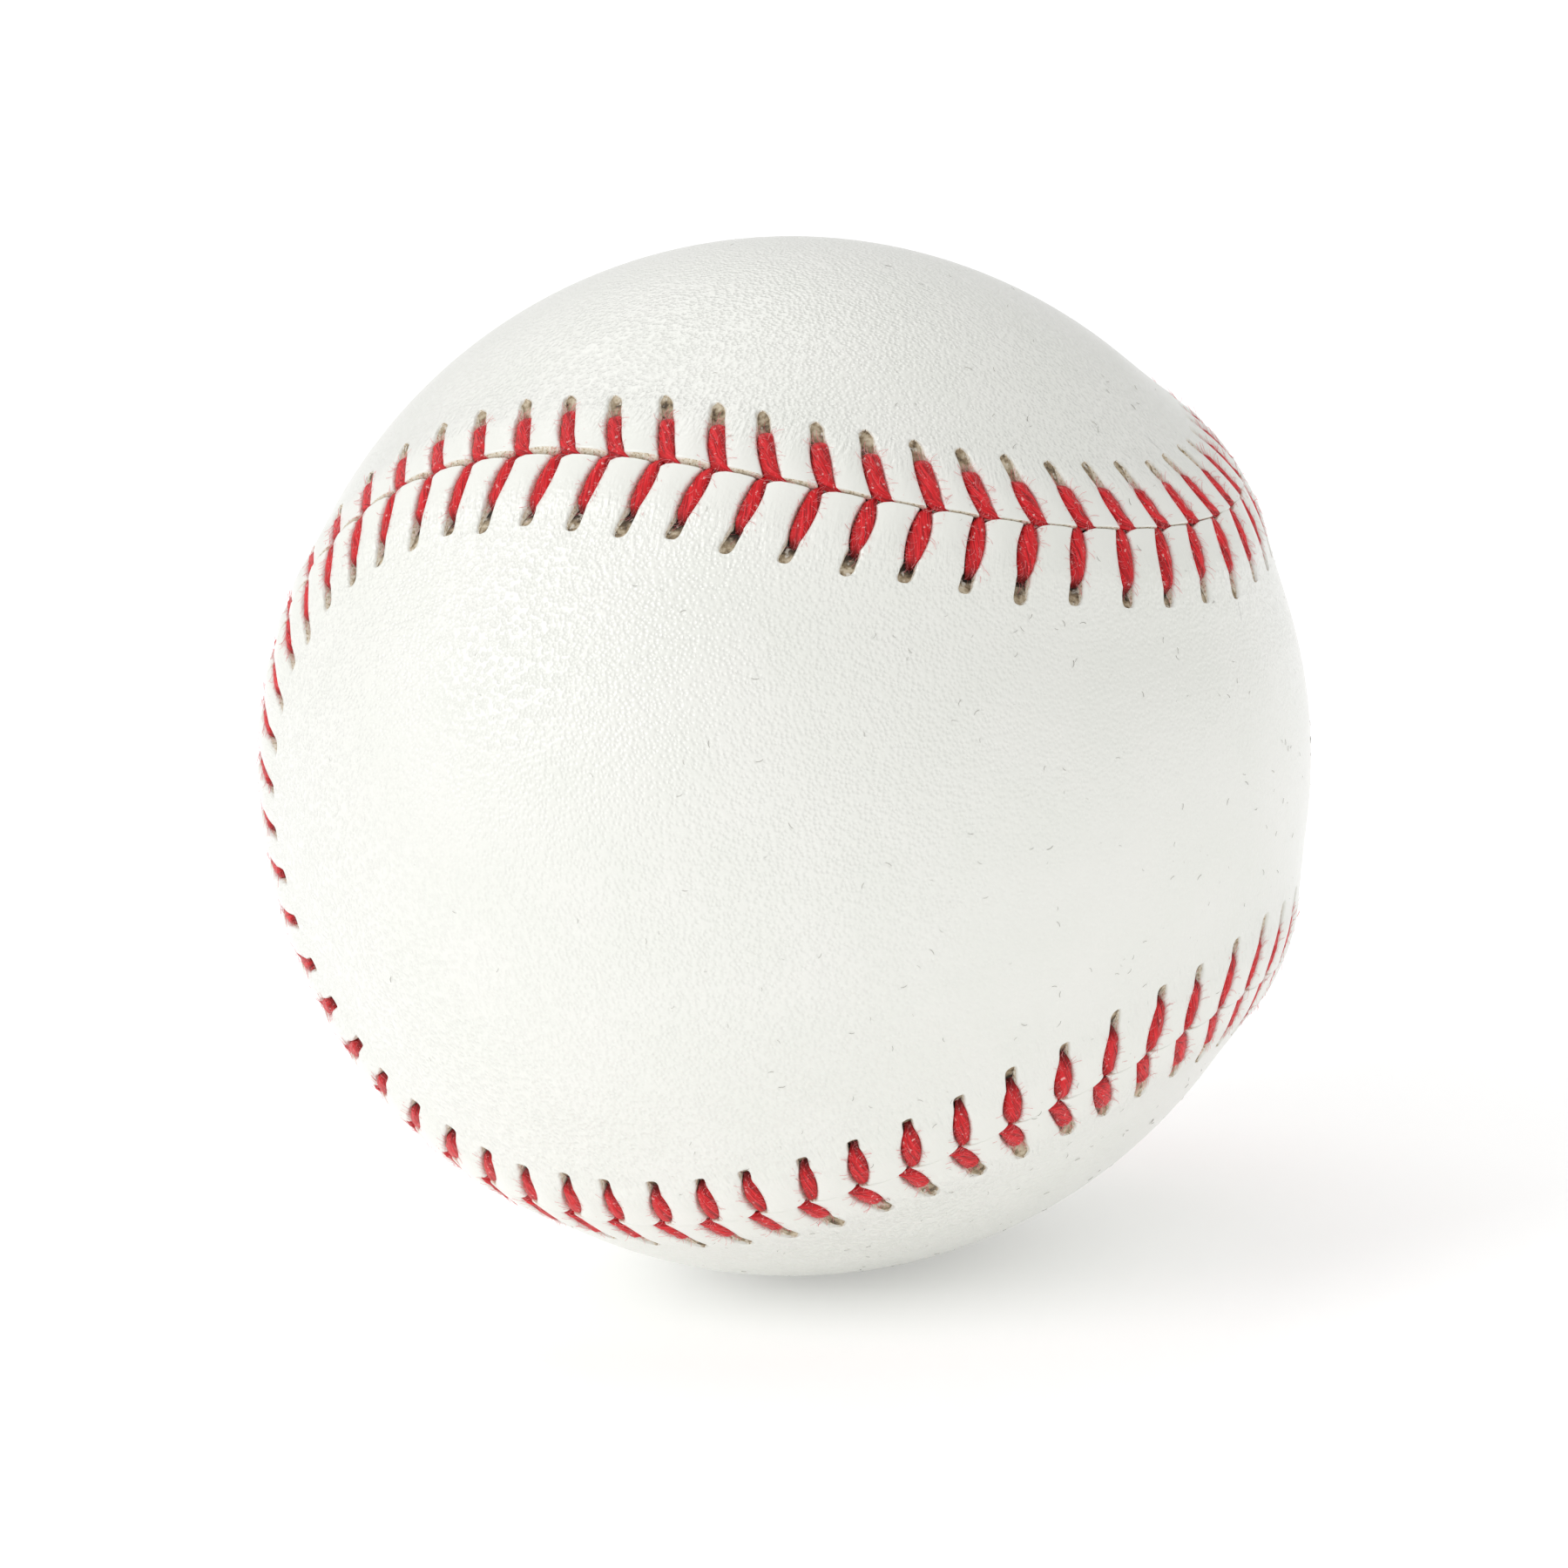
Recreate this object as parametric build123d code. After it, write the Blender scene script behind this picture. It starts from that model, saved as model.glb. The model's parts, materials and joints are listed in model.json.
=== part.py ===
from build123d import *
from math import acos, cos, pi, radians, sin, tan
import os

# A hand-stitched leather baseball, cut from the outside in: two leather panels,
# two red threads, a cement coat, four yarn windings, two rubber layers and a cork core.
# Origin at the centre of the ball. The front and back panel has its waist at +X,
# the top and bottom panel has its waist at -X. Nothing in a baseball moves.

# Layer sizes in millimetres, from the leather inwards, and the cups' turn in degrees
ball_radius = 36.6
leather_thickness = 1.3
cement_thickness = 0.15
finish_winding_thickness = 0.6
third_winding_thickness = 2.9
second_winding_thickness = 1.6
outer_rubber_thickness = 3.2
inner_rubber_thickness = 3.2
cork_diameter = 20.6
seal_ring_width = 1.0
cup_parting_turn = 90

# Seam and stitch sizes in millimetres, leans in degrees
stitch_count = 108
seam_gap = 0.45
slot_reach = 5.5
slot_corner_chamfer = 0.3
hole_distance = 3.9
dive_distance = 0.65
stitch_lean = 13
stitch_stagger = 0.6
thread_diameter = 0.85
thread_bend_radius = 0.8
thread_lift = 0.05
thread_clearance = 0.1
crossing_drop = 1.05
bridge_chamfer = 0.3
trench_half_width = 5.0

# Leather tabs that swell up between the stitches, in millimetres, taper in degrees
tab_rise = 0.5
tab_root = 0.45
tab_width = 1.8
tab_start = 0.5
tab_end = 5.2
tab_taper = 40

# Shape of the seam curve, and where the first stitch lies in its pitch
seam_lobe_share = 0.445
seam_waist_share = 1.14
first_stitch_share = 0.67

# How far every cutting tool runs past what it cuts
cut_overrun = 1.0

# Sizes that follow from the driving ones
cover_inner_radius = ball_radius - leather_thickness
cement_inner_radius = cover_inner_radius - cement_thickness
finish_inner_radius = cement_inner_radius - finish_winding_thickness
third_inner_radius = finish_inner_radius - third_winding_thickness
second_inner_radius = third_inner_radius - second_winding_thickness
cork_radius = cork_diameter / 2
inner_rubber_radius = cork_radius + inner_rubber_thickness
outer_rubber_radius = inner_rubber_radius + outer_rubber_thickness
thread_radius = thread_diameter / 2
slot_width = thread_diameter + 2 * thread_clearance
thread_top_radius = ball_radius + thread_lift
thread_low_radius = cover_inner_radius - thread_bend_radius
thread_deep_radius = thread_low_radius - crossing_drop
trench_floor_radius = thread_deep_radius - thread_radius - thread_clearance
groove_floor = thread_top_radius - thread_radius - thread_clearance

# Sides of the seam, as signs
TOP_BOTTOM = 1
FRONT_BACK = -1
CURVE_POINTS = 96
TRENCH_STEP = 2


def seam_direction(turn):
    across = seam_waist_share * cos(2 * turn)
    along = sin(turn) + seam_lobe_share * sin(3 * turn)
    up = cos(turn) - seam_lobe_share * cos(3 * turn)
    return Vector(across, along, up).normalized()


def seam_curve(radius):
    """Closed seam curve on a sphere of the given radius."""
    turns = [2 * pi * index / CURVE_POINTS for index in range(CURVE_POINTS)]
    return Edge.make_spline([seam_direction(turn) * radius for turn in turns], periodic=True)


def ball(radius):
    """Sphere whose poles and seam meridian all lie inside the top and bottom panel."""
    frame = Plane(origin=(0, 0, 0), x_dir=(-1, 0, 0), z_dir=(0, 0, 1))
    return Solid.make_sphere(radius, frame, -90, 90)


# Leg frame: X runs from the seam out along the stitch, Z is radial at the slot's middle
seam = seam_curve(ball_radius)
pitch_share = 1 / stitch_count


def leg_start(index, side):
    """Point and outward heading of one stitch leg where it meets the seam."""
    stagger_share = side * stitch_stagger / 2 / seam.length
    share = (stagger_share - (index + first_stitch_share) * pitch_share) % 1
    out = seam.position_at(share).normalized()
    tangent = seam.tangent_at(share)
    across = out.cross(tangent).normalized() * side
    lean = radians(stitch_lean)
    return out, (across * cos(lean) - tangent * sin(lean)).normalized()


def leg_point(index, side, distance, radius):
    out, heading = leg_start(index, side)
    angle = distance / ball_radius
    return (out * cos(angle) + heading * sin(angle)) * radius


def leg_frame(index, side):
    out, heading = leg_start(index, side)
    angle = slot_reach / 2 / ball_radius
    middle = out * cos(angle) + heading * sin(angle)
    along = heading * cos(angle) - out * sin(angle)
    return Plane(origin=(0, 0, 0), x_dir=along, z_dir=middle).location


def nearest(pieces, point):
    return min(pieces, key=lambda piece: piece.distance_to(Vertex(*point)))


def seam_wall(side, distance, inner, outer, step):
    """Closed radial wall beside the seam, flat from one stitch to another."""
    facets = []
    for index in range(0, stitch_count, step):
        near = [leg_point(index, side, distance, radius) for radius in (inner, outer)]
        far = [leg_point(index + step, side, distance, radius) for radius in (outer, inner)]
        facets.append(Face(Wire.make_polygon(near + far)))
    return Shell(facets)


def cut_at_wall(shell, wall, keep_point):
    return nearest(shell.split(wall, keep=Keep.ALL), keep_point)


def trench(floor_radius, half_width):
    """Ring that follows the seam, where the stitches press the layers under them in."""
    top_radius = ball_radius + cut_overrun
    band = ball(top_radius) - ball(floor_radius)
    for side in (TOP_BOTTOM, FRONT_BACK):
        inner = floor_radius - cut_overrun
        wall = seam_wall(side, half_width, inner, top_radius + cut_overrun, TRENCH_STEP)
        band = cut_at_wall(band, wall, seam_direction(0) * ball_radius)
    return band


def pressed_ball(radius, depth):
    """Ball of yarn with the stitch trench pressed in, at a depth below the leather."""
    return ball(radius) - trench(trench_floor_radius - depth, trench_half_width + depth)


# Slot tool: open notch at the seam, groove over a bridge of leather, then the open slot
slot_middle = slot_reach / 2
slot_top = ball_radius + tab_rise + cut_overrun
slot_bottom = cover_inner_radius - cut_overrun
bridge_start = dive_distance + slot_width / 2
bridge_end = hole_distance - slot_width / 2
slot_outline = [
    (-seam_gap - slot_middle, slot_bottom),
    (bridge_start - slot_middle, slot_bottom),
    (bridge_start - slot_middle, groove_floor - bridge_chamfer),
    (bridge_start + bridge_chamfer - slot_middle, groove_floor),
    (bridge_end - bridge_chamfer - slot_middle, groove_floor),
    (bridge_end - slot_middle, groove_floor - bridge_chamfer),
    (bridge_end - slot_middle, slot_bottom),
    (slot_middle, slot_bottom),
    (slot_middle, slot_top),
    (-seam_gap - slot_middle, slot_top),
]
slot_face = make_face(Plane.XZ * Polyline(*slot_outline, close=True))
slot_tool = extrude(slot_face, amount=slot_width / 2, both=True)
slot_tip_edges = slot_tool.edges().filter_by(Axis.Z).group_by(Axis.X)[-1]
slot_tool = chamfer(slot_tip_edges, slot_corner_chamfer).solid()

# Tab: leather swelling up between two neighbouring stitches, rooted in the panel
tab_middle = (tab_start + tab_end) / 2 - slot_middle
tab_plane = Plane(origin=(tab_middle, 0, ball_radius - tab_root), z_dir=(0, 0, 1))
tab_base = tab_plane * Rectangle(tab_end - tab_start, tab_width)
tab = extrude(tab_base, amount=tab_root + tab_rise, taper=tab_taper).solid()


def cover_panel(side):
    shell = ball(ball_radius) - ball(cover_inner_radius)
    pole = Vector(-side, 0, 0) * ball_radius
    inner = cover_inner_radius - cut_overrun
    wall = seam_wall(side, seam_gap / 2, inner, ball_radius + cut_overrun, 1)
    panel = cut_at_wall(shell, wall, pole)
    halfway_share = 1 / 2
    slots = [slot_tool.moved(leg_frame(i, side)) for i in range(stitch_count)]
    tabs = [tab.moved(leg_frame(i + halfway_share, side)) for i in range(stitch_count)]
    return panel.cut(*slots).fuse(*tabs)


def rounded_path(points, radius):
    """Straight runs joined by tangent arcs of one radius."""
    edges = []
    start = points[0]
    for before, corner, after in zip(points, points[1:], points[2:]):
        back = (before - corner).normalized()
        ahead = (after - corner).normalized()
        half = acos(back.dot(ahead)) / 2
        arc_start = corner + back * (radius / tan(half))
        arc_end = corner + ahead * (radius / tan(half))
        middle = corner + (back + ahead).normalized() * (radius / sin(half) - radius)
        edges.append(Edge.make_line(start, arc_start))
        edges.append(Edge.make_three_point_arc(arc_start, middle, arc_end))
        start = arc_end
    edges.append(Edge.make_line(start, points[-1]))
    return Wire(edges)


def stitch_thread(first_side):
    """One needle's thread: up through a slot, over to the seam, down, under the other panel."""
    points = []
    for index in range(stitch_count):
        side = first_side if index % 2 == 0 else -first_side
        dive_radius = thread_deep_radius if side == TOP_BOTTOM else thread_low_radius
        points.append(leg_point(index, side, hole_distance, thread_low_radius))
        points.append(leg_point(index, side, hole_distance, thread_top_radius))
        points.append(leg_point(index, side, dive_distance, thread_top_radius))
        points.append(leg_point(index, side, dive_distance, dive_radius))
    path = rounded_path(points, thread_bend_radius)
    start = Plane(origin=path.position_at(0), z_dir=path.tangent_at(0))
    return Solid.sweep(Wire.make_circle(thread_radius, start), path)


def rubber_cups(outer_radius, inner_radius, parting_turn):
    """Two rubber cups that close on a sealing ring, turned about Y to their parting plane."""
    layer = ball(outer_radius) - ball(inner_radius)
    above = Plane.XY.offset(seal_ring_width / 2)
    below = Plane.XY.offset(-seal_ring_width / 2)
    rest = split(layer, bisect_by=above, keep=Keep.BOTTOM)
    first = split(layer, bisect_by=above, keep=Keep.TOP)
    ring = split(rest, bisect_by=below, keep=Keep.TOP)
    second = split(rest, bisect_by=below, keep=Keep.BOTTOM)
    return [piece.rotate(Axis.Y, parting_turn) for piece in (first, ring, second)]


# Core and rubber layers
nodes = {"cork_core": ball(cork_radius)}
cups = rubber_cups(inner_rubber_radius, cork_radius, 0)
nodes["inner_rubber_upper"], nodes["inner_seal_ring"], nodes["inner_rubber_lower"] = cups
cups = rubber_cups(outer_rubber_radius, inner_rubber_radius, cup_parting_turn)
nodes["outer_rubber_right"], nodes["outer_seal_ring"], nodes["outer_rubber_left"] = cups

# Yarn windings and cement coat, all pressed in under the stitches
nodes["first_winding"] = ball(second_inner_radius) - ball(outer_rubber_radius)
nodes["second_winding"] = ball(third_inner_radius) - ball(second_inner_radius)
under_cover = pressed_ball(cover_inner_radius, 0)
under_cement = pressed_ball(cement_inner_radius, cement_thickness)
under_finish = pressed_ball(finish_inner_radius, cement_thickness + finish_winding_thickness)
nodes["third_winding"] = under_finish - ball(third_inner_radius)
nodes["finish_winding"] = under_cement - under_finish
nodes["cement_coat"] = under_cover - under_cement

# Leather cover and its two threads
nodes["cover_front_back"] = cover_panel(FRONT_BACK)
nodes["cover_top_bottom"] = cover_panel(TOP_BOTTOM)
nodes["thread_first"] = stitch_thread(TOP_BOTTOM)
nodes["thread_second"] = stitch_thread(FRONT_BACK)

os.makedirs("parts", exist_ok=True)
for name, shape in nodes.items():
    export_step(shape, f"parts/{name}.step")
    print(f"{name}: {len(shape.solids())} solid, {shape.volume:.1f} mm3, valid {shape.is_valid}")
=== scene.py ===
import json
import math
import bmesh
import bpy
import numpy as np
from mathutils import Matrix, Vector
from mathutils.geometry import delaunay_2d_cdt


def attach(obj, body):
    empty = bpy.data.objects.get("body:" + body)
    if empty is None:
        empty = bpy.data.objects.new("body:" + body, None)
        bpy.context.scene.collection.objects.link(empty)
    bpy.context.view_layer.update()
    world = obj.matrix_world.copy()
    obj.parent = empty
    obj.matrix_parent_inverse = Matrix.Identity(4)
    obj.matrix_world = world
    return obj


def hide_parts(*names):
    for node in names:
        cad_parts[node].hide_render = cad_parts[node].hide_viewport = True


# A stitched leather baseball. Sizes are in millimetres, as in the solids, and become
# metres only when a mesh is written.
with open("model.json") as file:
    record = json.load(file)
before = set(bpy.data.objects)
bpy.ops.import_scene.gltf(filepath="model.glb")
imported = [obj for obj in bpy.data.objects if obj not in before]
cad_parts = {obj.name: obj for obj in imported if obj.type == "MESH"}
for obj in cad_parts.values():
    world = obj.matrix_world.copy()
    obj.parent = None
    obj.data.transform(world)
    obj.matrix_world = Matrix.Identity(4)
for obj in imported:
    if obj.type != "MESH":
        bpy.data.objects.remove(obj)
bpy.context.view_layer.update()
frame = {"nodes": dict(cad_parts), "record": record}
MM = 0.001
rng = np.random.default_rng(108)

# Ball and seam, as in the solids
BALL_RADIUS = 36.6
LEATHER_THICKNESS = 1.3
STITCH_COUNT = 108
SEAM_LOBE_SHARE = 0.445
SEAM_WAIST_SHARE = 1.14
FIRST_STITCH_SHARE = 0.67
STITCH_STAGGER = 0.6
TOP_BOTTOM = 1
FRONT_BACK = -1

# Raised seam and the leather tabs between the stitches
SEAM_RISE = 0.75
SEAM_RISE_REACH = 9.2
BAND_REACH = 9.2
TAB_CROWN = 0.19
CROWN_REACH = 0.9
EDGE_ROUND = 0.2
GROOVE_DEPTH = 0.85
SLOT_TIP_DEPTH = 0.14
CLOSED_WIDTH = 0.02
HEALED_WIDTH = 0.22
HEALED_LENGTH = 1.5
NECK_LENGTH = 0.35
TIP_LENGTH_SHARE = 1.2
BASE_SLOT_END = 5.5
INNER_SPACING = 1.1
TOUCH = 1e-6

# How full a thread's spindle, a tab's crown and a tab's round corner are: exponents, 1 is plain
SPINDLE_FULLNESS = 0.8
CROWN_FULLNESS = 0.7
CORNER_FULLNESS = 1.5

# Stretches of the seam where the stitches differ: right, left and bottom of the front lobe,
# each with its middle stitch and its reach, in stitches
STRETCHES = [(1, 5), (24, 7), (42, 9)]

# Sizes of a stitch leg: the usual one, its change on each of those stretches, and its spread
# from one hand-sewn stitch to the next. The lean is in degrees.
LEG_SIZES = {
    TOP_BOTTOM: {
        "thread_end": (3.75, -0.4, -1.0, -0.9, 0.28),
        "slot_end": (5.6, -0.2, -0.9, -1.1, 0.22),
        "seam_half": (0.56, 0, 0, -0.14, 0.05),
        "belly": (0.64, 0.08, -0.1, 0.07, 0.07),
        "end_half": (0.56, -0.2, 0, 0, 0.05),
        "slot_half": (0.47, 0, 0, 0.12, 0.04),
        "shift": (0, 0, 0, 0, 0.22),
        "bow": (0, 0, 0, 0, 0.12),
        "lean": (19, -9, -4, -9, 1.5),
    },
    FRONT_BACK: {
        "thread_end": (3.8, 0, -0.8, -0.5, 0.28),
        "slot_end": (5.5, 0, -0.6, -0.9, 0.22),
        "seam_half": (0.36, 0, 0, -0.08, 0.05),
        "belly": (0.66, 0.07, -0.06, 0, 0.07),
        "end_half": (0.42, 0, 0, -0.04, 0.05),
        "slot_half": (0.47, 0, 0, -0.1, 0.04),
        "shift": (0, 0, 0, 0, 0.22),
        "bow": (0, 0, 0, 0, 0.12),
        "lean": (12, -5, 0, 0, 1.5),
    },
}

# Where the raw edge shows: stitch number, reach in stitches and width. The width wavers by a
# share of itself, over an angle for each stitch.
OPEN_SEAM = [(14, 5.5, 0.46), (3, 5.0, 0.1), (66, 6.0, 0.35), (90, 5.0, 0.4)]
OPENING_WAVER = 0.15
WAVER_ANGLE = 2.3


def smooth(low, high, value):
    """Share from 0 to 1 of the way from low to high, with soft ends."""
    share = np.clip((value - low) / (high - low), 0, 1)
    return share * share * (3 - 2 * share)


def seam_direction(turn):
    """Unit vector from the ball's centre to the seam."""
    raw = np.stack(
        [
            SEAM_WAIST_SHARE * np.cos(2 * turn),
            np.sin(turn) + SEAM_LOBE_SHARE * np.sin(3 * turn),
            np.cos(turn) - SEAM_LOBE_SHARE * np.cos(3 * turn),
        ],
        axis=-1,
    )
    return raw / np.linalg.norm(raw, axis=-1, keepdims=True)


# Table of arc length along the seam, so that stitches are evenly spaced
TABLE_SIZE = 8001
TABLE_TURNS = np.linspace(0, 2 * np.pi, TABLE_SIZE)
TABLE_STEPS = np.linalg.norm(np.diff(seam_direction(TABLE_TURNS), axis=0), axis=1)
TABLE_LENGTHS = np.concatenate([[0], np.cumsum(TABLE_STEPS)]) * BALL_RADIUS
SEAM_LENGTH = TABLE_LENGTHS[-1]
PITCH = SEAM_LENGTH / STITCH_COUNT


def seam_frame(advance):
    """Outward, tangent and sideways unit vectors at a length along the seam, in stitch order."""
    length = (-advance - FIRST_STITCH_SHARE * PITCH) % SEAM_LENGTH
    turn = np.interp(length, TABLE_LENGTHS, TABLE_TURNS)
    step = 1e-5
    out = seam_direction(turn)
    tangent = seam_direction(turn + step) - seam_direction(turn - step)
    tangent = tangent / np.linalg.norm(tangent, axis=-1, keepdims=True)
    return out, tangent, np.cross(out, tangent)


def on_ball(advance, distance, side, height):
    """Point at a length along the seam, a distance to one side of it and a height over the ball."""
    out, _, across = seam_frame(np.asarray(advance, float))
    angle = np.asarray(distance, float)[..., None] / BALL_RADIUS
    direction = out * np.cos(angle) + side * across * np.sin(angle)
    return direction * (BALL_RADIUS + np.asarray(height, float)[..., None])


def seam_hump(distance):
    """Rise of the cover over the ball near the seam."""
    share = np.clip(np.abs(distance) / SEAM_RISE_REACH, 0, 1)
    return SEAM_RISE * (1 + np.cos(np.pi * share)) / 2


def flesh_height(distance):
    """Height of the inner side of the leather."""
    return seam_hump(distance) - LEATHER_THICKNESS


def near_stitch(stitch, at, reach):
    """Weight that is 1 at one stitch of the seam and fades over its neighbours on both sides."""
    apart = (stitch - at + STITCH_COUNT / 2) % STITCH_COUNT - STITCH_COUNT / 2
    return np.exp(-((apart / reach) ** 2))


class Legs:
    """The stitch legs on one side of the seam, each a little different, as sewn by hand."""

    def __init__(self, side):
        stitch = np.arange(STITCH_COUNT)
        weights = [near_stitch(stitch, at, reach) for at, reach in STRETCHES]
        for size, (usual, *changes, spread) in LEG_SIZES[side].items():
            value = usual + sum(change * weight for change, weight in zip(changes, weights))
            setattr(self, size, value + rng.uniform(-spread, spread, STITCH_COUNT))
        self.start = stitch * PITCH - side * STITCH_STAGGER / 2

    def centre(self, distance, pick):
        """Length along the seam of a leg's middle line at a distance from the seam."""
        share = distance / BASE_SLOT_END
        lean = np.tan(np.radians(self.lean[pick])) * distance + self.shift[pick] * share
        return self.start[pick] + lean + self.bow[pick] * np.sin(np.pi * np.clip(share, 0, 1))

    def half_width(self, distance, pick):
        """Half the opening between two tabs: a spindle under the thread, then the open slot."""
        end = self.thread_end[pick]
        tip = self.slot_end[pick]
        slot = self.slot_half[pick]
        share = np.clip(distance / end, 0, 1)
        ends = self.seam_half[pick] + (self.end_half[pick] - self.seam_half[pick]) * share
        spindle = ends + (self.belly[pick] - ends) * np.sin(np.pi * share) ** SPINDLE_FULLNESS
        narrowing = smooth(end, end + NECK_LENGTH, distance)
        width = spindle * (1 - narrowing) + slot * narrowing
        tip_length = TIP_LENGTH_SHARE * slot
        past = np.clip((distance - (tip - tip_length)) / tip_length, 0, 1)
        round_tip = slot * np.sqrt(1 - past * past)
        width = np.where(past > 0, np.minimum(width, round_tip), width)
        healed = CLOSED_WIDTH + HEALED_WIDTH * smooth(tip, tip + HEALED_LENGTH, distance)
        return np.where(distance >= tip - TOUCH, healed, np.maximum(width, CLOSED_WIDTH))

    def down_slot(self, distance, pick):
        """Share of the way from the thread to the tip of the slot."""
        end = self.thread_end[pick]
        return np.clip((distance - end) / (self.slot_end[pick] - end), 0, 1)

    def depth(self, distance, pick):
        """How deep the bottom of the groove or slot lies under the leather."""
        depth = GROOVE_DEPTH + (SLOT_TIP_DEPTH - GROOVE_DEPTH) * self.down_slot(distance, pick)
        return np.where(distance >= self.slot_end[pick] - TOUCH, 0, depth)

    def row(self, base, pick):
        """Distance from the seam of a row of the band beside a slot, whose tip lies on the tip row."""
        tip = self.slot_end[pick]
        if base <= BASE_SLOT_END:
            return base * tip / BASE_SLOT_END
        return tip + (base - BASE_SLOT_END) / (BAND_REACH - BASE_SLOT_END) * (BAND_REACH - tip)


LEGS = {side: Legs(side) for side in (TOP_BOTTOM, FRONT_BACK)}

# Rows of the seam band by distance from the leather's edge, for a slot of the usual length
ROWS = np.array(
    [0, 0, 0.05, 0.12, 0.22, 0.4, 0.7, 1.1, 1.5, 1.9, 2.3, 2.7, 3.0, 3.3, 3.6, 3.8, 4.05, 4.3, 4.55]
    + [4.8, 5.0, 5.17, 5.3, 5.4, 5.46, 5.486, 5.497, 5.5, 5.56, 5.7, 5.95, 6.4, 7.0, 7.8, BAND_REACH]
)
TIP_ROW = int(np.argmin(np.abs(ROWS - BASE_SLOT_END)))
EDGE_FADE = (5.38, 5.5)
CROWN_FADE = (2.5, 5.3)

# Columns of one tab: distances in from its two edges, then shares of what is left between
TAB_STEPS = np.array([0, 0.05, 0.12, 0.25, 0.45])
TAB_SHARES = np.array([0.25, 0.5, 0.75])
FLOOR_SHARE = 0.92
NARROW_TAB = 1.2


def band_columns(side):
    """The seam band's points, in cells by columns by rows: places, heights and shares.

    A cell runs from the middle of one slot to the middle of the next, with a tab between them.
    """
    legs = LEGS[side]
    cells = np.arange(STITCH_COUNT)
    nexts = (cells + 1) % STITCH_COUNT
    turn_over = np.where(nexts == 0, SEAM_LENGTH, 0.0)
    column_count = 2 * len(TAB_STEPS) + len(TAB_SHARES) + 3
    names = ("advance", "distance", "height", "share_across", "down_slot")
    band = {name: np.zeros((STITCH_COUNT, column_count, len(ROWS))) for name in names}
    for row, base in enumerate(ROWS):
        near = legs.row(base, cells)
        far = legs.row(base, nexts)
        left_middle = legs.centre(near, cells)
        right_middle = legs.centre(far, nexts) + turn_over
        middle = (left_middle + right_middle) / 2
        step = 0.01
        before, after = (on_ball(middle + s, (near + far) / 2, side, 0 * near) for s in (-step, step))
        stretch = np.linalg.norm(after - before, axis=-1) / (2 * step)
        left_half = legs.half_width(near, cells) / stretch
        right_half = legs.half_width(far, nexts) / stretch
        left = left_middle + left_half
        right = right_middle - right_half
        squeeze = np.minimum(1, (right - left) * stretch / NARROW_TAB)
        steps = TAB_STEPS[:, None] * squeeze
        inner_left = left + steps[-1] / stretch
        inner_right = right - steps[-1] / stretch
        between = inner_left + TAB_SHARES[:, None] * (inner_right - inner_left)
        tab = np.concatenate([left + steps / stretch, between, right - steps[::-1] / stretch])
        inset = np.minimum(tab - left, right - tab) * stretch
        left_floor = [left_middle, left_middle + FLOOR_SHARE * left_half]
        right_floor = [right_middle - FLOOR_SHARE * right_half]
        places = np.concatenate([left_floor, tab, right_floor])
        across = np.clip((places - left_middle) / (right_middle - left_middle), 0, 1)
        distance = near + across * (far - near)
        past = np.clip(1 - inset / EDGE_ROUND, 0, 1)
        drop = EDGE_ROUND * (1 - np.sqrt(1 - past * past)) * (1 - smooth(*EDGE_FADE, base))
        crown = TAB_CROWN * np.clip(inset / CROWN_REACH, 0, 1) ** CROWN_FULLNESS
        crown = crown * (1 - smooth(*CROWN_FADE, base))
        height = seam_hump(distance)
        height[:2] -= legs.depth(near, cells)
        height[2:-1] += crown - drop
        height[-1] -= legs.depth(far, nexts)
        first_half = np.arange(column_count)[:, None] < column_count // 2
        band["advance"][:, :, row] = places.T
        band["distance"][:, :, row] = distance.T
        band["height"][:, :, row] = height.T
        band["share_across"][:, :, row] = across.T
        down = np.where(first_half, legs.down_slot(near, cells), legs.down_slot(far, nexts))
        band["down_slot"][:, :, row] = down.T
    return band


# The front and back panel laps over the other: its tabs have one round corner and roll under,
# while the top and bottom panel shows its raw cut edge
CORNER_ROUND = {FRONT_BACK: 0.4, TOP_BOTTOM: 0.12}
CORNER_START = 0.62
EDGE_FOOT = {FRONT_BACK: -LEATHER_THICKNESS, TOP_BOTTOM: -0.3}
EDGE_ROLL = 0.08
LOOSE_ROLL = 0.12
LOOSE_DRAW = 0.06
LOOSE_WIDTH = 0.2
EDGE_EASE = 2.0
RAW_FOOT = 0.04


def seam_opening(advance):
    """How far the raw edge shows along the seam: most where the panels were drawn together least."""
    stitch = advance / PITCH
    wide = sum(width * np.exp(-(((stitch - at) / reach) ** 2)) for at, reach, width in OPEN_SEAM)
    return wide * (1 + OPENING_WAVER * np.sin(WAVER_ANGLE * stitch)) - CLOSED_WIDTH


def shape_seam_edge(side, band):
    """Rounds the tabs over at the seam, or bevels them to the raw cut edge on the panel below."""
    corner = CORNER_ROUND[side] * smooth(CORNER_START, 1.0, band["share_across"]) ** CORNER_FULLNESS
    gap = seam_opening(band["advance"])
    loose = np.clip(gap / LOOSE_WIDTH, 0, 1)
    if side == FRONT_BACK:
        edge = corner + LOOSE_DRAW * loose - CLOSED_WIDTH
        roll = EDGE_ROLL + LOOSE_ROLL * loose
        foot = edge[:, :, 0]
    else:
        edge = corner + gap
        roll = EDGE_ROLL
        foot = np.minimum(edge[:, :, 0], RAW_FOOT)
    past = np.clip(1 - ROWS / roll, 0, 1)
    band["height"] -= roll * (1 - np.sqrt(1 - past * past))
    band["distance"] += edge * (1 - smooth(0, EDGE_EASE, ROWS))
    band["distance"][:, :, 0] = foot
    band["height"][:, :, 0] = seam_hump(0) + EDGE_FOOT[side]


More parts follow.
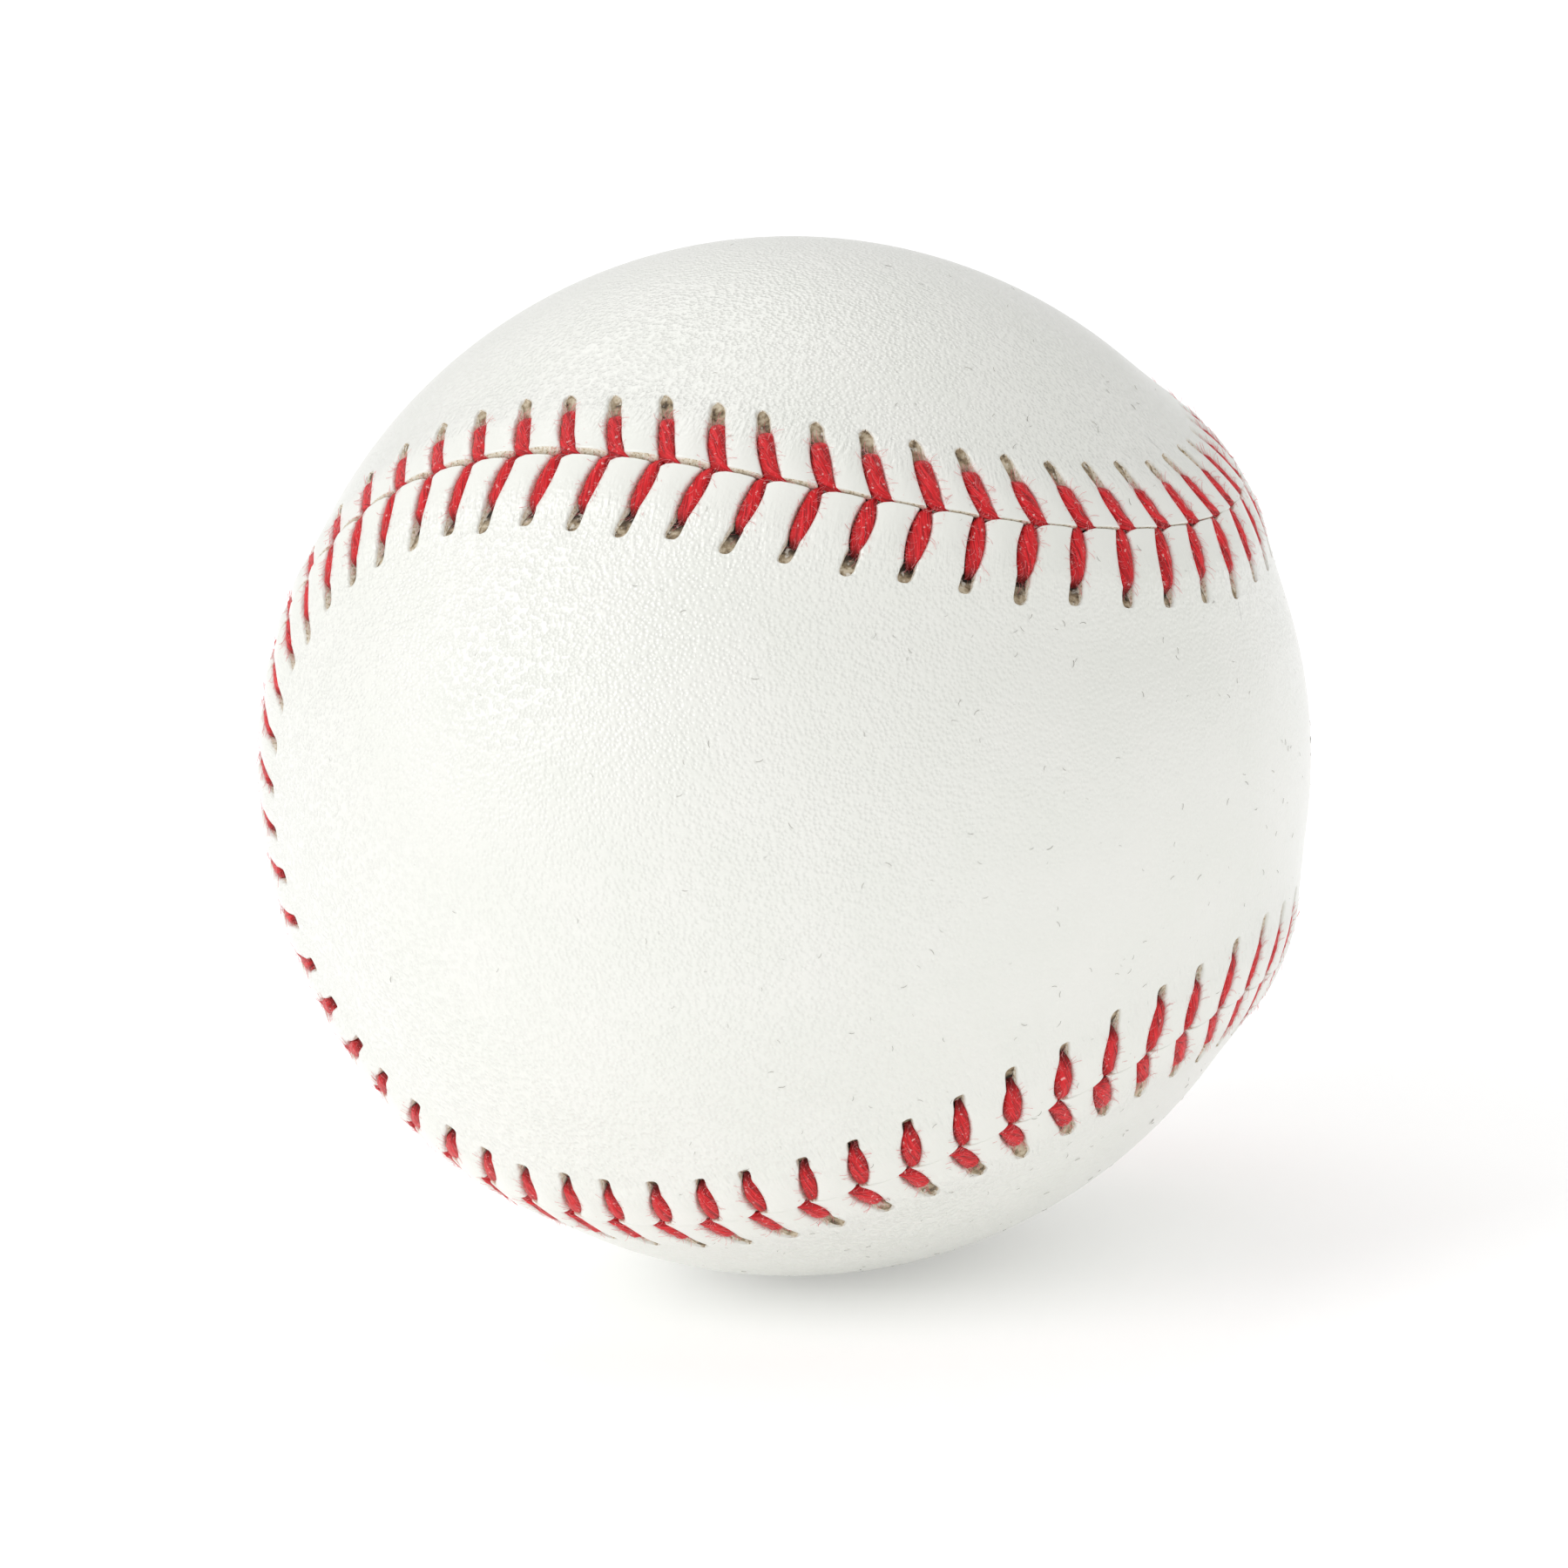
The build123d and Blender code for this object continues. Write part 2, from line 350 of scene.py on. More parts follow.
def fibonacci_ball(spacing):
    """Evenly spread unit vectors, about a spacing apart on the ball."""
    count = int(4 * np.pi * BALL_RADIUS**2 / spacing**2)
    index = np.arange(count) + 0.5
    z = 1 - 2 * index / count
    angle = np.pi * (1 + 5**0.5) * index
    flat = np.sqrt(1 - z * z)
    return np.stack([flat * np.cos(angle), flat * np.sin(angle), z], axis=-1)


SCATTER = fibonacci_ball(INNER_SPACING)
SEAM_SAMPLES = 1500
SEAM_POINTS, _, SEAM_ACROSS = seam_frame(np.linspace(0, SEAM_LENGTH, SEAM_SAMPLES, endpoint=False))
BATCHES = 8


def distance_from_seam(points):
    """Signed distance on the ball: positive on the top and bottom panel."""
    result = []
    for part in np.array_split(points, BATCHES):
        dots = part @ SEAM_POINTS.T
        best = np.argmax(dots, axis=1)
        reach = np.arccos(np.clip(np.max(dots, axis=1), -1, 1)) * BALL_RADIUS
        result.append(reach * np.sign(np.sum(part * SEAM_ACROSS[best], axis=1)))
    return np.concatenate(result)


SCATTER_DISTANCE = distance_from_seam(SCATTER)
INSIDE_THE_RING = 1
MERGE_DISTANCE = 1e-9


def fill_inside(ring, side, margin, height_of):
    """Points and triangles over the rest of a panel, from a closed ring of points inwards."""
    keep = SCATTER_DISTANCE * side > margin
    inner = SCATTER[keep]
    heights = height_of(SCATTER_DISTANCE[keep])
    both = np.concatenate([ring / np.linalg.norm(ring, axis=1, keepdims=True), inner])
    flat = both[:, 1:] / (1 - side * both[:, :1])
    edges = [(i, (i + 1) % len(ring)) for i in range(len(ring))]
    result = delaunay_2d_cdt([Vector(p) for p in flat], edges, [], INSIDE_THE_RING, MERGE_DISTANCE)
    origin = [source[0] for source in result[3]]
    triangles = [[origin[i] for i in face] for face in result[2]]
    return inner * (BALL_RADIUS + heights)[:, None], triangles


# Materials of a leather panel, in the order of its slots
GRAIN_SIDE, CUT_EDGE, FLESH_SIDE = 0, 1, 2
FILL_MARGIN = 0.35
FLESH_MARGIN = 0.6

# Lint settled on the side that faced down and right, and is scarce elsewhere
LINT_SIDE = np.array([0.92, -0.26, -0.27])
LINT_FADE = (0.0, 0.8)
LINT_ELSEWHERE = 0.06

# On that side the hide is also smoother
SMOOTH_FADE = (0.6, 0.95)
SMOOTH_GRAIN = 0.3

# The painted shade in the slots of the top and bottom panel is already lighter where the thread goes down
SLOT_SHADE_START = {FRONT_BACK: 0.0, TOP_BOTTOM: 0.4}


def leather_panel(name, side, materials):
    """One closed leather panel: seam band with tabs, grooves and slots, plain middle and flesh side."""
    band = band_columns(side)
    shape_seam_edge(side, band)
    points = on_ball(band["advance"], band["distance"], side, band["height"])
    cell_count, column_count, row_count = band["height"].shape
    strips = cell_count * column_count
    index = np.arange(strips * row_count).reshape(strips, row_count)
    ahead = np.roll(index, -1, axis=0)
    quads = np.stack([index[:, :-1], ahead[:, :-1], ahead[:, 1:], index[:, 1:]], axis=-1)
    marks = np.full(quads.shape[:2], GRAIN_SIDE)
    column = np.arange(strips) % column_count
    floor = (column == 0) | (column == column_count - 1)
    wall = (column == 1) | (column == column_count - 2)
    marks[floor, :TIP_ROW] = FLESH_SIDE
    marks[wall, :TIP_ROW] = CUT_EDGE
    marks[:, 0] = CUT_EDGE
    vertices = points.reshape(-1, 3)
    faces = quads.reshape(-1, 4).tolist()
    marks = marks.reshape(-1).tolist()
    for row, margin, height_of, mark in (
        (-1, BAND_REACH + FILL_MARGIN, seam_hump, GRAIN_SIDE),
        (0, FLESH_MARGIN, flesh_height, FLESH_SIDE),
    ):
        inner, triangles = fill_inside(points[:, :, row].reshape(-1, 3), side, margin, height_of)
        lookup = np.concatenate([index[:, row], len(vertices) + np.arange(len(inner))])
        faces += [[int(lookup[i]) for i in face] for face in triangles]
        marks += [mark] * len(triangles)
        vertices = np.concatenate([vertices, inner])
    mesh = bpy.data.meshes.new(name)
    mesh.from_pydata((vertices * MM).tolist(), [], faces)
    for material in materials:
        mesh.materials.append(material)
    mesh.polygons.foreach_set("material_index", marks)
    # The down_slot share stored below sets the painted shade in the slots; on the top and bottom panel it
    # starts lighter
    start = SLOT_SHADE_START[side]
    rest = len(vertices) - strips * row_count
    for label, values, beyond in (
        ("from_seam", band["distance"] * MM, BAND_REACH * MM),
        ("along_seam", band["advance"] * MM, 0),
        ("down_slot", start + (1 - start) * band["down_slot"], 1),
    ):
        store(mesh, label, np.concatenate([values.reshape(-1), np.full(rest, beyond)]))
    facing = vertices @ LINT_SIDE / np.linalg.norm(vertices, axis=1)
    store(mesh, "fibre_share", LINT_ELSEWHERE + (1 - LINT_ELSEWHERE) * smooth(*LINT_FADE, facing))
    store(mesh, "grain_share", 1 - (1 - SMOOTH_GRAIN) * smooth(*SMOOTH_FADE, facing))
    return finish_mesh(name, mesh)


def store(mesh, name, values):
    """Keeps one number for each point of a mesh under a name."""
    layer = mesh.attributes.new(name, "FLOAT", "POINT")
    layer.data.foreach_set("value", np.asarray(values, np.float32))


def finish_mesh(name, mesh):
    """Turns the faces outwards, smooths them and returns the object."""
    work = bmesh.new()
    work.from_mesh(mesh)
    bmesh.ops.recalc_face_normals(work, faces=work.faces)
    work.to_mesh(mesh)
    work.free()
    mesh.shade_smooth()
    return place_mesh(name, mesh)


def place_mesh(name, mesh):
    """Object at the origin with a mesh, linked to the scene."""
    piece = bpy.data.objects.new(name, mesh)
    bpy.context.scene.collection.objects.link(piece)
    return piece


# Materials
def linear(hex_colour):
    """sRGB hex to linear RGBA."""
    parts = [int(hex_colour[i : i + 2], 16) / 255 for i in (0, 2, 4)]
    return [p / 12.92 if p <= 0.04045 else ((p + 0.055) / 1.055) ** 2.4 for p in parts] + [1.0]


def per_mm(size):
    """Texture scale, in repeats per metre, of a pattern with a real size in millimetres."""
    return 1 / (size * MM)


def add(tree, kind, inputs=None, stops=(), **settings):
    """Adds a node with its settings and colour stops, and fills or links its inputs.

    An input is a value, a socket, or a node whose first output is meant. A stop is a place
    with a hex colour or a grey.
    """
    node = tree.nodes.new(kind)
    for key, value in settings.items():
        setattr(node, key, value)
    if stops:
        elements = node.color_ramp.elements
        while len(elements) < len(stops):
            elements.new(0.5)
        for element, (place, colour) in zip(elements, stops):
            element.position = place
            element.color = linear(colour) if isinstance(colour, str) else (colour, colour, colour, 1)
    for key, value in (inputs or {}).items():
        source = value.outputs[0] if isinstance(value, bpy.types.Node) else value
        if isinstance(source, bpy.types.NodeSocket):
            tree.links.new(source, node.inputs[key])
        else:
            node.inputs[key].default_value = source
    return node


def new_material(name):
    """Material without nodes, its tree and the place on the piece."""
    material = bpy.data.materials.new(name)
    material.use_nodes = True
    tree = material.node_tree
    tree.nodes.clear()
    return material, tree, add(tree, "ShaderNodeTexCoord").outputs["Object"]


def show(tree, shader_inputs):
    """Ends a material in one shader."""
    shader = add(tree, "ShaderNodeBsdfPrincipled", shader_inputs)
    add(tree, "ShaderNodeOutputMaterial", {"Surface": shader})


# Hide: sizes in millimetres of its clouds, pores, coarser grain, creases, specks and relief,
# then shares of that relief, and a crease's width over its length
CLOUD_SIZE = 6.0
PORE_SIZE = 0.3
COARSE_SIZE = 0.9
CREASE_WIDTH = 0.28
SPECK_SPACING = 2.4
HIDE_RELIEF = 0.14
PORE_DEPTH = 0.43
COARSE_DEPTH = 0.3
CREASE_STRETCH = 0.22


def white_cowhide():
    """Alum-tanned white cowhide under a clear finish: glossy, dimpled with pores that sparkle
    beside the highlight, smoother on one side, creased where stitches pull it."""
    material, tree, place = new_material("alum_tanned_cowhide")
    clouding = {"Vector": place, "Scale": per_mm(CLOUD_SIZE), "Detail": 3.0}
    cloud = add(tree, "ShaderNodeTexNoise", clouding)
    tone = add(tree, "ShaderNodeValToRGB", {"Fac": cloud}, [(0.3, "E9EAE3"), (0.7, "ECECE6")])
    cell = add(tree, "ShaderNodeTexVoronoi", {"Vector": place, "Scale": per_mm(PORE_SIZE)})
    pit = {"Value": cell, "From Max": 0.8, "To Max": PORE_DEPTH}
    pores = add(tree, "ShaderNodeMapRange", pit, interpolation_type="SMOOTHSTEP")
    lumps = {"Vector": place, "Scale": per_mm(COARSE_SIZE), "Detail": 2.0}
    coarse = add(tree, "ShaderNodeTexNoise", lumps)
    patches = add(tree, "ShaderNodeAttribute", attribute_name="grain_share").outputs["Fac"]
    reach = add(tree, "ShaderNodeAttribute", attribute_name="from_seam").outputs["Fac"]
    along = add(tree, "ShaderNodeAttribute", attribute_name="along_seam").outputs["Fac"]
    share = add(tree, "ShaderNodeMath", {0: reach, 1: BAND_REACH * MM}, operation="DIVIDE")
    drawn = [(0.1, 0.1), (0.35, 1.0), (0.55, 0.8), (0.8, 0.0)]
    near = add(tree, "ShaderNodeValToRGB", {"Fac": share}, drawn)
    away = add(tree, "ShaderNodeValToRGB", {"Fac": share}, [(0.15, 0.15), (0.6, 1.0)])
    outwards = add(tree, "ShaderNodeMath", {0: reach, 1: CREASE_STRETCH}, operation="MULTIPLY")
    lines = add(tree, "ShaderNodeCombineXYZ", {"X": along, "Y": outwards})
    pulls = {"Vector": lines, "Scale": per_mm(CREASE_WIDTH), "Detail": 2.0}
    creases = add(tree, "ShaderNodeTexNoise", pulls)
    grain = add(tree, "ShaderNodeMath", {0: pores, 1: patches}, operation="MULTIPLY")
    grain = add(tree, "ShaderNodeMath", {0: grain, 1: away}, operation="MULTIPLY")
    lumpy = {0: coarse, 1: COARSE_DEPTH, 2: grain}
    grain = add(tree, "ShaderNodeMath", lumpy, operation="MULTIPLY_ADD")
    height = add(tree, "ShaderNodeMath", {0: creases, 1: near, 2: grain}, operation="MULTIPLY_ADD")
    relief = {"Strength": 1.0, "Distance": HIDE_RELIEF * MM, "Height": height}
    bump = add(tree, "ShaderNodeBump", relief)
    spots = add(tree, "ShaderNodeTexVoronoi", {"Vector": place, "Scale": per_mm(SPECK_SPACING)})
    speck = add(tree, "ShaderNodeValToRGB", {"Fac": spots}, [(0.02, 0.25), (0.035, 0.0)])
    blend = {0: speck, 6: tone, 7: linear("9A978E")}
    colour = add(tree, "ShaderNodeMix", blend, data_type="RGBA").outputs[2]
    hide = {"Base Color": colour, "Normal": bump, "Roughness": 0.4, "Specular IOR Level": 0.1}
    finish = {"Coat Weight": 1.0, "Coat Roughness": 0.28, "Coat IOR": 1.7, "Coat Normal": bump}
    show(tree, {**hide, **finish})
    return material


# Fibres of the cut edge and of the flesh side, drops of cement that are partly painted glints, and smears
# of cement, in millimetres
CUT_FIBRE_SIZE = 0.2
FLESH_FIBRE_SIZE = 0.5
CEMENT_DROP_AND_GLINT_SIZE = 0.45
CEMENT_SMEAR_SIZE = 0.6


def raw_hide_edge():
    """Cut edge of the hide: cream, with brown fibres and pits darkened by painted shade, matt."""
    material, tree, place = new_material("raw_hide_edge")
    strands = {"Vector": place, "Scale": per_mm(CUT_FIBRE_SIZE), "Detail": 5.0, "Roughness": 0.7}
    fibre = add(tree, "ShaderNodeTexNoise", strands)
    # The darkest shade, where the fibre relief is low, is partly painted shade in the pits
    shades = [(0.35, "A08A66"), (0.47, "E8DDC8"), (0.65, "FBF8F0")]
    colour = add(tree, "ShaderNodeValToRGB", {"Fac": fibre}, shades)
    bump = add(tree, "ShaderNodeBump", {"Strength": 0.7, "Distance": 0.1 * MM, "Height": fibre})
    show(tree, {"Base Color": colour, "Normal": bump, "Roughness": 0.85})
    return material


def slot_flesh():
    """Flesh side and cement seen in the open slots: taupe with fibres, darkened towards the thread's end
    by painted shade, with glossy cement and pale cement drops that are partly painted glints.
    """
    material, tree, place = new_material("taupe_hide_flesh_painted_shade")
    strands = {"Vector": place, "Scale": per_mm(FLESH_FIBRE_SIZE), "Detail": 3.0, "Roughness": 0.55}
    fibre = add(tree, "ShaderNodeTexNoise", strands)
    pale_shades = [(0.33, "524434"), (0.47, "9A886C"), (0.66, "CFC2AA")]
    # Painted shade: the flesh is painted darker towards the thread's end, where the slot is deep
    shaded_flesh_shades = [(0.36, "18110C"), (0.56, "4A3D31"), (0.68, "93846F")]
    pale = add(tree, "ShaderNodeValToRGB", {"Fac": fibre}, pale_shades)
    shaded_flesh = add(tree, "ShaderNodeValToRGB", {"Fac": fibre}, shaded_flesh_shades)
    down = add(tree, "ShaderNodeAttribute", attribute_name="down_slot").outputs["Fac"]
    # The painted shade fades out from the thread's end towards the slot's tip
    out_of_shade = add(tree, "ShaderNodeValToRGB", {"Fac": down}, [(0.3, 0.0), (0.62, 1.0)])
    colour = add(tree, "ShaderNodeMix", {0: out_of_shade, 6: shaded_flesh, 7: pale}, data_type="RGBA").outputs[2]
    # Pale cement drops, partly painted glints
    dried = {"Vector": place, "Scale": per_mm(CEMENT_DROP_AND_GLINT_SIZE), "Detail": 3.0}
    drops_and_glints = add(tree, "ShaderNodeTexNoise", dried)
    cement = add(tree, "ShaderNodeValToRGB", {"Fac": drops_and_glints}, [(0.6, 0.0), (0.68, 0.8)])
    blend = {0: cement, 6: colour, 7: linear("DDD8CE")}
    colour = add(tree, "ShaderNodeMix", blend, data_type="RGBA").outputs[2]
    wiped = {"Vector": place, "Scale": per_mm(CEMENT_SMEAR_SIZE), "Detail": 2.0}
    smears = add(tree, "ShaderNodeTexNoise", wiped)
    gloss = add(tree, "ShaderNodeValToRGB", {"Fac": smears}, [(0.5, 0.75), (0.62, 0.25)])
    bump = add(tree, "ShaderNodeBump", {"Strength": 0.8, "Distance": 0.12 * MM, "Height": fibre})
    show(tree, {"Base Color": colour, "Normal": bump, "Roughness": gloss})
    return material


# Twist of the thread: length of one turn, fibres seen around it, their length and its plies, then the
# distance over which fibres differ, the size of the painted glints of wax, a ply's rise and the relief
TWIST_LENGTH = 9.0
FIBRES_AROUND = 26.0
FIBRE_LENGTH = 1.4
PLY_COUNT = 2
LEG_SPACING = 4.0
WAX_GLINT_SIZE = 0.32
PLY_RISE = 1.2
THREAD_RELIEF = 0.16


def red_thread():
    """Waxed red cotton thread: slackly twisted plies with painted shade between them, painted glints of
    wax, and ends darkened towards the slot by cement stain and painted shade.
    """
    material, tree, place = new_material("waxed_red_cotton")
    along = add(tree, "ShaderNodeAttribute", attribute_name="along").outputs["Fac"]
    around = add(tree, "ShaderNodeAttribute", attribute_name="around").outputs["Fac"]
    twist = {0: along, 1: per_mm(TWIST_LENGTH), 2: around}
    turns = add(tree, "ShaderNodeMath", twist, operation="MULTIPLY_ADD")
    across = add(tree, "ShaderNodeMath", {0: turns, 1: FIBRES_AROUND}, operation="MULTIPLY")
    lengthwise = add(tree, "ShaderNodeMath", {0: along, 1: per_mm(FIBRE_LENGTH)}, operation="MULTIPLY")
    strand = add(tree, "ShaderNodeCombineXYZ", {"X": across, "Y": lengthwise})
    own = {0: place, 1: [per_mm(LEG_SPACING)] * 3, 2: strand}
    spread = add(tree, "ShaderNodeVectorMath", own, operation="MULTIPLY_ADD")
    fibre = add(tree, "ShaderNodeTexNoise", {"Vector": spread, "Scale": 1.0, "Detail": 3.0})
    reds = [(0.3, "840510"), (0.48, "D60A16"), (0.7, "F2303A")]
    colour = add(tree, "ShaderNodeValToRGB", {"Fac": fibre}, reds)
    plies = add(tree, "ShaderNodeMath", {0: turns, 1: PLY_COUNT}, operation="MULTIPLY")
    ply = add(tree, "ShaderNodeMath", {0: plies, 1: 0.5}, operation="PINGPONG")
    # Painted shade between the plies
    ply_shade = add(tree, "ShaderNodeValToRGB", {"Fac": ply}, [(0.0, 0.5), (0.16, 0.0)])
    blend = {0: ply_shade, 6: colour, 7: linear("7C040C")}
    colour = add(tree, "ShaderNodeMix", blend, data_type="RGBA").outputs[2]
    # Painted highlight: pale glints of wax on the thread
    glints = {"Vector": place, "Scale": per_mm(WAX_GLINT_SIZE), "Detail": 3.0}
    glint_pattern = add(tree, "ShaderNodeTexNoise", glints)
    painted_glint = add(tree, "ShaderNodeValToRGB", {"Fac": glint_pattern}, [(0.64, 0.0), (0.71, 0.75)])
    blend = {0: painted_glint, 6: colour, 7: linear("F6C4C0")}
    colour = add(tree, "ShaderNodeMix", blend, data_type="RGBA").outputs[2]
    # Thread ends darkened deep in the slot: cement stain and painted shade
    stain_and_shade = add(tree, "ShaderNodeAttribute", attribute_name="stain_and_shade").outputs["Fac"]
    blend = {0: stain_and_shade, 6: colour, 7: linear("2A0D0A")}
    colour = add(tree, "ShaderNodeMix", blend, data_type="RGBA").outputs[2]
    rope = add(tree, "ShaderNodeMath", {0: ply, 1: PLY_RISE, 2: fibre}, operation="MULTIPLY_ADD")
    relief = {"Strength": 1.0, "Distance": THREAD_RELIEF * MM, "Height": rope}
    bump = add(tree, "ShaderNodeBump", relief)
    waxed = {"Roughness": 0.42, "Specular IOR Level": 0.35}
    show(tree, {"Base Color": colour, "Normal": bump, **waxed})
    return material


def patterned(name, size, shades, roughness, strength):
    """Plain material with a noise pattern of a real size."""
    material, tree, place = new_material(name)
    pattern = {"Vector": place, "Scale": per_mm(size), "Detail": 5.0, "Roughness": 0.6}
    grain = add(tree, "ShaderNodeTexNoise", pattern)
    colour = add(tree, "ShaderNodeValToRGB", {"Fac": grain}, shades)
    bump = add(tree, "ShaderNodeBump", {"Strength": strength, "Distance": 0.2 * MM, "Height": grain})
    show(tree, {"Base Color": colour, "Normal": bump, "Roughness": roughness})
    return material


# Geometry trees for the thread and for loose fibres
def tree_with(name, sizes):
    """Geometry tree with a geometry input and output, named sizes and a material."""
    tree = bpy.data.node_groups.new(name, "GeometryNodeTree")
    tree.interface.new_socket("Geometry", in_out="INPUT", socket_type="NodeSocketGeometry")
    tree.interface.new_socket("Geometry", in_out="OUTPUT", socket_type="NodeSocketGeometry")
    for label in sizes:
        tree.interface.new_socket(label, in_out="INPUT", socket_type="NodeSocketFloat")
    tree.interface.new_socket("Material", in_out="INPUT", socket_type="NodeSocketMaterial")
    return tree, add(tree, "NodeGroupInput").outputs


def end_tree(tree, shape, material):
    """Ends a tree in real geometry with its material."""
    real = add(tree, "GeometryNodeRealizeInstances", {"Geometry": shape})
    dressed = add(tree, "GeometryNodeSetMaterial", {"Geometry": real, "Material": material})
    add(tree, "NodeGroupOutput", {"Geometry": dressed})
    return tree


def thread_tree():
    """Flat waxed thread along edges, as wide as each point says, lying on the leather."""
    tree, given = tree_with("sewn_thread", ["Flatness"])
    named = "GeometryNodeInputNamedAttribute"
    half = add(tree, named, {"Name": "half_width"}, data_type="FLOAT")
    lie = add(tree, named, {"Name": "lie"}, data_type="FLOAT_VECTOR")
    curve = add(tree, "GeometryNodeMeshToCurve", {"Mesh": given["Geometry"]})
    facing = add(tree, "GeometryNodeSetCurveNormal", {"Curve": curve, "Normal": lie}, mode="FREE")
    spot = add(tree, "GeometryNodeSplineParameter").outputs
    kept = {"Geometry": facing, "Name": "along", "Value": spot["Length"]}
    path = add(tree, "GeometryNodeStoreNamedAttribute", kept, data_type="FLOAT")
    circle = add(tree, "GeometryNodeCurvePrimitiveCircle", {"Resolution": 8, "Radius": 1.0})
    shape = add(tree, "ShaderNodeCombineXYZ", {"X": given["Flatness"], "Y": 1.0, "Z": 1.0})
    turned = {"Geometry": circle, "Rotation": (0, 0, math.pi), "Scale": shape}
    oval = add(tree, "GeometryNodeTransform", turned)
    kept = {"Geometry": oval, "Name": "around", "Value": spot["Factor"]}
    section = add(tree, "GeometryNodeStoreNamedAttribute", kept, data_type="FLOAT")
    swept = {"Curve": path, "Profile Curve": section, "Scale": half, "Fill Caps": True}
    tube = add(tree, "GeometryNodeCurveToMesh", swept)
    rounded = add(tree, "GeometryNodeSetShadeSmooth", {"Geometry": tube})
    return end_tree(tree, rounded, given["Material"])


# Shares of the usual length
SHORTEST_FIBRE = 0.3
LONGEST_FIBRE = 1.3


def fibre_tree():
    """Stray fibres on the outer side of a surface, lying on it or standing off it."""
    sizes = ["Fibre length", "Fibre radius", "Least tilt", "Most tilt", "Most turn"]
    tree, given = tree_with("stray_fibres", sizes + ["Least facing", "Most facing", "Density"])
    spot = add(tree, "GeometryNodeInputPosition")
    outward = add(tree, "ShaderNodeVectorMath", {0: spot}, operation="NORMALIZE")
    normal = add(tree, "GeometryNodeInputNormal")
    facing = add(tree, "ShaderNodeVectorMath", {0: normal, 1: outward}, operation="DOT_PRODUCT")
    inner = {"A": facing.outputs["Value"], "B": given["Least facing"]}
    outer = {"A": facing.outputs["Value"], "B": given["Most facing"]}
    over = add(tree, "FunctionNodeCompare", inner, operation="GREATER_THAN")
    under = add(tree, "FunctionNodeCompare", outer, operation="LESS_THAN")
    chosen = add(tree, "FunctionNodeBooleanMath", {0: over, 1: under}, operation="AND")
    share = add(tree, "GeometryNodeInputNamedAttribute", {"Name": "fibre_share"}, data_type="FLOAT")
    density = add(tree, "ShaderNodeMath", {0: share, 1: given["Density"]}, operation="MULTIPLY")
    spread = {"Mesh": given["Geometry"], "Selection": chosen, "Density": density, "Seed": 7}
    points = add(tree, "GeometryNodeDistributePointsOnFaces", spread)
    bow = {"Resolution": 2, "Start": (0, 0, 0), "Middle": (0.45, 0.22, 0.05), "End": (0.95, -0.1, 0.03)}
    line = add(tree, "GeometryNodeCurveQuadraticBezier", bow)
    thin = {0: given["Fibre radius"], 1: given["Fibre length"]}
    radius = add(tree, "ShaderNodeMath", thin, operation="DIVIDE")
    ring = add(tree, "GeometryNodeCurvePrimitiveCircle", {"Resolution": 3, "Radius": radius})
    fibre = add(tree, "GeometryNodeCurveToMesh", {"Curve": line, "Profile Curve": ring})
    other_way = add(tree, "ShaderNodeMath", {0: given["Most turn"], 1: -1.0}, operation="MULTIPLY")
    least = add(tree, "ShaderNodeCombineXYZ", {"Y": given["Least tilt"], "Z": other_way})
    most = add(tree, "ShaderNodeCombineXYZ", {"Y": given["Most tilt"], "Z": given["Most turn"]})
    turned = {0: least, 1: most, "Seed": 1}
    turn = add(tree, "FunctionNodeRandomValue", turned, data_type="FLOAT_VECTOR")
    spin = add(tree, "FunctionNodeEulerToRotation", {"Euler": turn})
    axes = {"Primary Axis": outward, "Secondary Axis": points.outputs["Normal"]}
    upright = add(tree, "FunctionNodeAxesToRotation", axes, primary_axis="Z", secondary_axis="X")
    both = {"Rotation": upright, "Rotate By": spin}
    tilt = add(tree, "FunctionNodeRotateRotation", both, rotation_space="LOCAL")
    sized = {2: SHORTEST_FIBRE, 3: LONGEST_FIBRE, "Seed": 2}
    size = add(tree, "FunctionNodeRandomValue", sized, data_type="FLOAT")
    grown = {0: size.outputs[1], 1: given["Fibre length"]}
    scale = add(tree, "ShaderNodeMath", grown, operation="MULTIPLY")
    copies = {"Points": points, "Instance": fibre, "Rotation": tilt, "Scale": scale}
    fibres = add(tree, "GeometryNodeInstanceOnPoints", copies)
    return end_tree(tree, fibres, given["Material"])


def grow(name, source_mesh, tree, values):
    """Runs a geometry tree on a mesh and returns the plain result as a new object."""
    carrier = place_mesh(name + "_path", source_mesh)
    modifier = carrier.modifiers.new("grow", "NODES")
    modifier.node_group = tree
    for item in tree.interface.items_tree:
        if item.in_out == "INPUT" and item.name in values:
            modifier[item.identifier] = values[item.name]
    graph = bpy.context.evaluated_depsgraph_get()
    mesh = bpy.data.meshes.new_from_object(carrier.evaluated_get(graph))
    mesh.name = name
    bpy.data.objects.remove(carrier)
    return place_mesh(name, mesh)


# A leg at the seam: distance from the seam, shift along it, share of the groove's width, depth.
# A leg on the top and bottom panel tails off sideways under the tab opposite, and one on the
# front and back panel goes straight under the edge.
SEAM_TURN = {
    TOP_BOTTOM: [
        (-0.04, -1.15, 0.14, 0.3),
        (0.06, -0.8, 0.34, 0.15),
        (0.22, -0.42, 0.64, 0.16),
        (0.52, -0.12, 0.93, 0.22),
    ],
    FRONT_BACK: [
        (-0.5, -0.32, 0.4, 0.65),
        (-0.22, -0.22, 0.65, 0.45),
        (0.05, -0.1, 0.86, 0.32),
        (0.45, 0, 0.98, 0.27),
    ],
}
